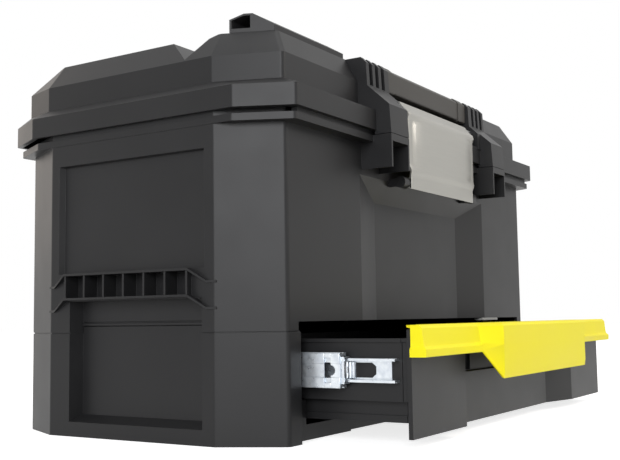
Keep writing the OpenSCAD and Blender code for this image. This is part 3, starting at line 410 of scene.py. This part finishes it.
# ---------------------------------------------------------------- moulded edges
# Radius in millimetres that each moulded piece has along its sharp edges
EDGE_MM = {"base_cabinet": 0.7, "upper_case": 0.6, "lid_shell": 0.6, "lid_rail": 0.8, "handle": 1.2,
           "drawer_tray": 0.5, "drawer_front": 0.7, "tote_tray": 0.6, "drawer_tab": 0.3,
           "drawer_dividers": 0.4}
CAD_WELD_MM = 0.002
FLAT_WITHIN = math.radians(0.6)
# Planes that keep a flat ring round an opening in parts, because a face has no holes. Each has its normal
# and a point, in metres.
SEAM_PLANES = [((1, 0, 0), (0.0001, 0, 0)), ((0, 1, 0), (0, -0.0201, 0))]
RAIL_SEAM_PLANES = [((0, 1, 0), (0, -0.0891, 0)), ((0, 0, 1), (0, 0, 0.2871))]


def own_copy(node):
    """A copy of a node's mesh with its loose triangles merged and its flat faces joined."""
    mesh = frame["nodes"][node].data.copy()
    bm = bmesh.new()
    bm.from_mesh(mesh)
    bmesh.ops.remove_doubles(bm, verts=bm.verts, dist=CAD_WELD_MM * MM)
    for normal, at in SEAM_PLANES + (RAIL_SEAM_PLANES if node == "lid_rail" else []):
        cut = bmesh.ops.bisect_plane(bm, geom=bm.verts[:] + bm.edges[:] + bm.faces[:], dist=1e-6,
                                     plane_co=at, plane_no=normal)
        for part in cut["geom_cut"]:
            if isinstance(part, bmesh.types.BMEdge):
                part.seam = True
    bmesh.ops.dissolve_limit(bm, angle_limit=FLAT_WITHIN, verts=bm.verts, edges=bm.edges, delimit={"SEAM"})
    bm.to_mesh(mesh)
    bm.free()
    return mesh


def step_wing(mesh):
    """The drawer front's left wing ends in a step: its slope closes up, and the low middle starts there."""
    slope_end, slope_round = -77, 3.5
    outer_skin = -188.5
    step_outer, step_inner = -115.2, -118.4
    for v in mesh.vertices:
        if abs(v.co.x / MM - slope_end) < slope_round:
            v.co.x = (step_outer if v.co.y / MM < outer_skin else step_inner) * MM


def step_rail(mesh):
    """The base's rail below the drawer ends before the step of the drawer front's left wing."""
    end_x, rail_y, rail_top = (-102, -97), (-118, -98), 11.5
    shift = 23.5
    for v in mesh.vertices:
        x, y, z = v.co / MM
        if z < rail_top and rail_y[0] < y < rail_y[1] and end_x[0] < x < end_x[1]:
            v.co.x -= shift * MM


def finger_openings(piece):
    """The openings beside the grip block go on through the tray's front wall, so that fingers reach in."""
    inner, outer = 78.5, 116.5
    front, back = -190, -183
    bottom, top = 43.5, 60
    cutters = []
    for side, word in SIDES:
        box = join_boxes([((side * inner, front, bottom), (side * outer, back, top))])
        cutters.append(new_object("cutter_" + word, outward_mesh("cutter_" + word, *box)))
        cut = piece.modifiers.new("cut_" + word, "BOOLEAN")
        cut.object = cutters[-1]
        cut.operation = "DIFFERENCE"
        cut.solver = "EXACT"
    as_plain(piece)
    for cutter in cutters:
        bpy.data.objects.remove(cutter)


def moulded(node):
    """The node's shape with its edges rounded as a mould leaves them."""
    mesh = own_copy(node)
    if node == "drawer_front":
        step_wing(mesh)
    if node == "base_cabinet":
        step_rail(mesh)
    piece = new_object(node + "_moulded", mesh)
    if node == "drawer_tray":
        finger_openings(piece)
    rounded_edges(piece, EDGE_MM[node], crisp=True)
    paint(piece.data, SLOT_OF[node])
    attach(piece, BODY_OF[node])
    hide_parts(node)


def paint_nodes():
    """Every node takes its finish, which shows on those that keep their own mesh."""
    for name, node in frame["nodes"].items():
        paint(node.data, SLOT_OF[name])


# ---------------------------------------------------------------- pieces made here
# All lengths below are in millimetres. DRAWER_OUT is how far the drawer is out at rest.
DRAWER_OUT = 80
CASE_FRONT = -120
PIECE_WELD_MM = 0.01
made = []
stand_ins = []


def new_piece(name, verts_mm, faces, slot, body, weld_mm=PIECE_WELD_MM):
    """A piece on a body, from points in millimetres."""
    piece = new_object(name, outward_mesh(name, verts_mm, faces, weld_mm))
    paint(piece.data, slot)
    made.append((piece, slot, body))
    return piece


def settle():
    """Each made piece rides on its body, keeps its slot and, where it has a node, stands in for it."""
    for piece, slot, body in made:
        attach(piece, body)
    for piece, node in stand_ins:
        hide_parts(node)


def drawer_cap():
    """The yellow cap: a bar with a lip below it, and the grip block that stands out of its middle."""
    # Profiles from the top plate's back edge down to the lower edge: out from the case's front, height
    bar = [(-13, 77), (6.2, 77), (8.2, 75), (9.5, 64.1), (11.5, 62.1), (11.5, 58.3), (11.0, 57.3)]
    block = [(-13, 77), (18, 77), (20, 75), (20, 64.1), (20, 62.1), (20, 43.5), (19.2, 38.5)]
    end = [(-3, 77), (0.3, 77), (0.3, 75), (0.3, 64.1), (0.3, 62.1), (0.3, 58.3), (0.3, 57.3)]
    shallow = [(-3, 77)] + bar[1:]
    # Distance from the middle at each point of a profile: the cap's end flares out below
    flared = [199.5, 201, 201, 201, 202.5, 202.5, 202.5]
    stations = [(flared, end), (flared, shallow)]
    stations += [([half] * len(bar), profile)
                 for half, profile in ((166, shallow), (165.9, bar), (112, bar), (95, block))]
    rows = []
    for side, order in ((-1, stations), (1, reversed(stations))):
        for halves, profile in order:
            rows.append([(side * half, CASE_FRONT - out - DRAWER_OUT, z)
                         for half, (out, z) in zip(halves, profile)])
    piece = new_piece("yellow_cap", *grid_sheet(rows), "yellow_abs", "drawer")
    face_out(piece, (0, -1, 0))
    thicken(piece, 1.4)
    rounded_edges(piece, 0.6, 3)
    stand_ins.append((piece, "drawer_cap"))


def tray_cheeks():
    """The tray's side walls go on to the back of the drawer's front."""
    tray_front, panel_back = -187.2, -196.9
    outline = [(177.5, 14.8), (181, 14.8), (181, 19.3), (180, 19.3), (180, 28.5), (186.5, 28.5), (186.5, 66),
               (188, 66), (188, 68.4), (184, 68.4), (184, 31), (177.5, 31)]
    n = len(outline)
    for side, word in SIDES:
        verts = [(side * x, y, z) for y in (tray_front, panel_back) for x, z in outline]
        faces = [tuple(range(n)), tuple(range(n, 2 * n))]
        faces += [(i, (i + 1) % n, n + (i + 1) % n, n + i) for i in range(n)]
        rounded_edges(new_piece("tray_cheek_" + word, verts, faces, "black_abs", "drawer"), 0.3)


# The latch: its pin's place as Y and Z, the radius of the plate's roll round it, and half its width
LATCH_PIN = (-126.0, 248.9)
LATCH_ROLL = 3.6
LATCH_HALF = 65
LATCH_HEM_FROM = 64.0
LATCH_HEM_BACK = 0.5
# Its raised field: half width, height range with full width, slope of the corners, and depth of the step
FIELD_HALF = 56.0
FIELD_LOW, FIELD_HIGH = 205.0, 233.0
FIELD_CORNER = 1.2
FIELD_DEPTH = 1.9
FIELD_EDGE = 2.6
# The border beside the field runs out into foot and roll over 4 mm, from these heights
BORDER_LOW, BORDER_HIGH, BORDER_FADE = 197, 241, 4


def latch_set_back(x, z):
    """How far a point of the latch lies behind its raised field: the border, and the hem at both ends."""
    raised = FIELD_HALF - max(0.0, FIELD_LOW - z) * FIELD_CORNER - max(0.0, z - FIELD_HIGH) * FIELD_CORNER
    fade = min(ramp((z - BORDER_LOW) / BORDER_FADE), ramp((BORDER_HIGH - z) / BORDER_FADE))
    back = FIELD_DEPTH * fade * ramp((abs(x) - raised) / FIELD_EDGE)
    return back + LATCH_HEM_BACK if abs(x) > LATCH_HEM_FROM else back


def latch():
    """The latch plate: sheet rolled round its pin, with a raised middle and a stepped foot."""
    pin_y, pin_z = LATCH_PIN
    turns = [math.radians(-60 + 22 * i) for i in range(7)]
    profile = [(pin_y - LATCH_ROLL * math.sin(a), pin_z + LATCH_ROLL * math.cos(a)) for a in turns]
    profile += [(-133.2, 245.4), (-135.6, 243.2), (-136.7, 240.6), (-137, 238), (-137, 236), (-137, 234),
                (-137, 204), (-137, 202), (-137, 200), (-136.9, 198), (-136.5, 196), (-135.9, 194.2),
                (-135.5, 192.4), (-135.4, 190.5), (-135.4, 183), (-135.2, 182.0)]
    right_half = [20, 40, 54, 55.5, 57, 58.5, 60, 61.4, 63, 64.6, LATCH_HALF]
    columns = [-x for x in reversed(right_half)] + [0] + right_half
    foot_from, foot_over, foot_inset = 202, 8, 3.5
    rows = []
    for y, z in profile:
        narrow = 1 - ramp((foot_from - z) / foot_over) * foot_inset / LATCH_HALF
        rows.append([(x * narrow, y + latch_set_back(x, z), z) for x in columns])
    piece = new_piece("latch_sheet", *grid_sheet(rows), "latch_steel", "latch")
    face_out(piece, (0, -1, 0))
    thicken(piece, 1.3)
    piece.data.shade_smooth()
    piece.data.set_sharp_from_angle(angle=math.radians(50))
    stand_ins.append((piece, "latch_plate"))
    for side, word in SIDES:
        fold = join_boxes([((side * 60.2, -135.2, 182.4), (side * 61.5, -127.2, 191))])
        rounded_edges(new_piece("latch_fold_" + word, *fold, "latch_steel", "latch"), 0.5)


# Height of the slides' middle line
SLIDE_Z = 48.2


def slide_beads():
    """Raised bands above and below the middle of the slides' middle members, with the slot left open."""
    front = -107.7 - DRAWER_OUT / 2
    skin, crest = 197.35, 197.9
    for side, word in SIDES:
        boxes = []
        for up in (-1, 1):
            low, mid, top = (SLIDE_Z + up * h for h in (4.4, 8.0, 11.0))
            for start, stop, inner in ((0.3, 7.0, low), (7.0, 12, mid), (12, 199, low)):
                boxes.append(((side * skin, front + start, inner), (side * crest, front + stop, top)))
        piece = new_piece("slide_beads_" + word, *join_boxes(boxes), "zinc_steel", "slide_mids", weld_mm=0.0)
        rounded_edges(piece, 0.2)


def slide_tongues():
    """The bent tongue behind the window of each drawer member."""
    steps, waves = 24, 3
    front_y, length = -153.4, 7.4
    least, swell = 0.5, 1.1
    flat_x = 186.5 + 1.2
    for side, word in SIDES:
        rows = []
        for i in range(steps + 1):
            bulge = least + swell * math.sin(math.pi * i / steps * waves) ** 2 * (1 - i / (2 * steps))
            rows.append([(side * (flat_x + bulge), front_y + length * i / steps, SLIDE_Z + z)
                         for z in (-5.4, -5.0, 0, 5.0, 5.4)])
        piece = new_piece("slide_tongue_" + word, *grid_sheet(rows), "zinc_steel", "drawer")
        face_out(piece, (side, 0, 0))
        thicken(piece, 0.5)
        piece.data.shade_smooth()


def seam_lips():
    """A lip inside each end wall covers the seam between base and upper case."""
    for side, word in SIDES:
        lip = join_boxes([((side * 221.6, -70, 75.4), (side * 223.2, 60, 80.3))])
        rounded_edges(new_piece("seam_lip_" + word, *lip, "black_abs", "cabinet"), 0.3)


def divider_guides():
    """Pairs of upright ribs on the tray's front and back walls that hold the dividers, by Geometry Nodes."""
    tray_middle_y = -87
    tray_floor = 17.3
    rib_height = 44.0
    group = bpy.data.node_groups.new("divider_guides", "GeometryNodeTree")
    sockets = group.interface
    sizes = {"Pitch": 93.25, "Gap": 3.1, "Rib width": 1.4, "Rib depth": 3.0, "Rib height": rib_height,
             "Wall to wall": 195.0}
    for name, size in sizes.items():
        sockets.new_socket(name, in_out="INPUT", socket_type="NodeSocketFloat").default_value = size * MM
    sockets.new_socket("Finish", in_out="INPUT", socket_type="NodeSocketMaterial")
    sockets.new_socket("Geometry", in_out="OUTPUT", socket_type="NodeSocketGeometry")
    given = add(group, "NodeGroupInput").outputs

    def maths(kind, a, b):
        return add(group, "ShaderNodeMath", {0: a, 1: b}, operation=kind).outputs["Value"]

    def vector(**parts):
        return add(group, "ShaderNodeCombineXYZ", parts).outputs["Vector"]

    def centred_line(count, axis, step):
        """Points a step apart along an axis, their middle at the origin."""
        start = vector(**{axis: maths("MULTIPLY", step, -(count - 1) / 2)})
        return add(group, "GeometryNodeMeshLine", {"Count": count, "Start Location": start,
                                                   "Offset": vector(**{axis: step})}).outputs["Mesh"]

    def copies(points, shape):
        """The shape at each of the points."""
        return add(group, "GeometryNodeInstanceOnPoints", {"Points": points,
                                                           "Instance": shape}).outputs["Instances"]

    size = vector(X=given["Rib width"], Y=given["Rib depth"], Z=given["Rib height"])
    rib = add(group, "GeometryNodeMeshCube", {"Size": size}).outputs["Mesh"]
    pair = copies(centred_line(2, "X", maths("ADD", given["Gap"], given["Rib width"])), rib)
    walls = copies(centred_line(2, "Y", maths("SUBTRACT", given["Wall to wall"], given["Rib depth"])), pair)
    every = copies(centred_line(3, "X", given["Pitch"]), walls)
    real = add(group, "GeometryNodeRealizeInstances", {"Geometry": every}).outputs["Geometry"]
    painted = add(group, "GeometryNodeSetMaterial", {"Geometry": real, "Material": given["Finish"]})
    add(group, "NodeGroupOutput", {"Geometry": painted.outputs["Geometry"]})
    carrier = new_object("divider_guides", bpy.data.meshes.new("divider_guides"))
    maker = carrier.modifiers.new("guides", "NODES")
    maker.node_group = group
    finish = next(i.identifier for i in sockets.items_tree if i.name == "Finish")
    maker[finish] = MATERIALS["black_abs"]
    as_plain(carrier)
    for v in carrier.data.vertices:
        v.co += Vector((0.0, tray_middle_y * MM, (tray_floor + rib_height / 2) * MM))
    made.append((carrier, "black_abs", "drawer"))


add_camera()
add_studio()
paint_nodes()
for name in EDGE_MM:
    moulded(name)
drawer_cap()
tray_cheeks()
latch()
slide_beads()
slide_tongues()
seam_lips()
divider_guides()
settle()
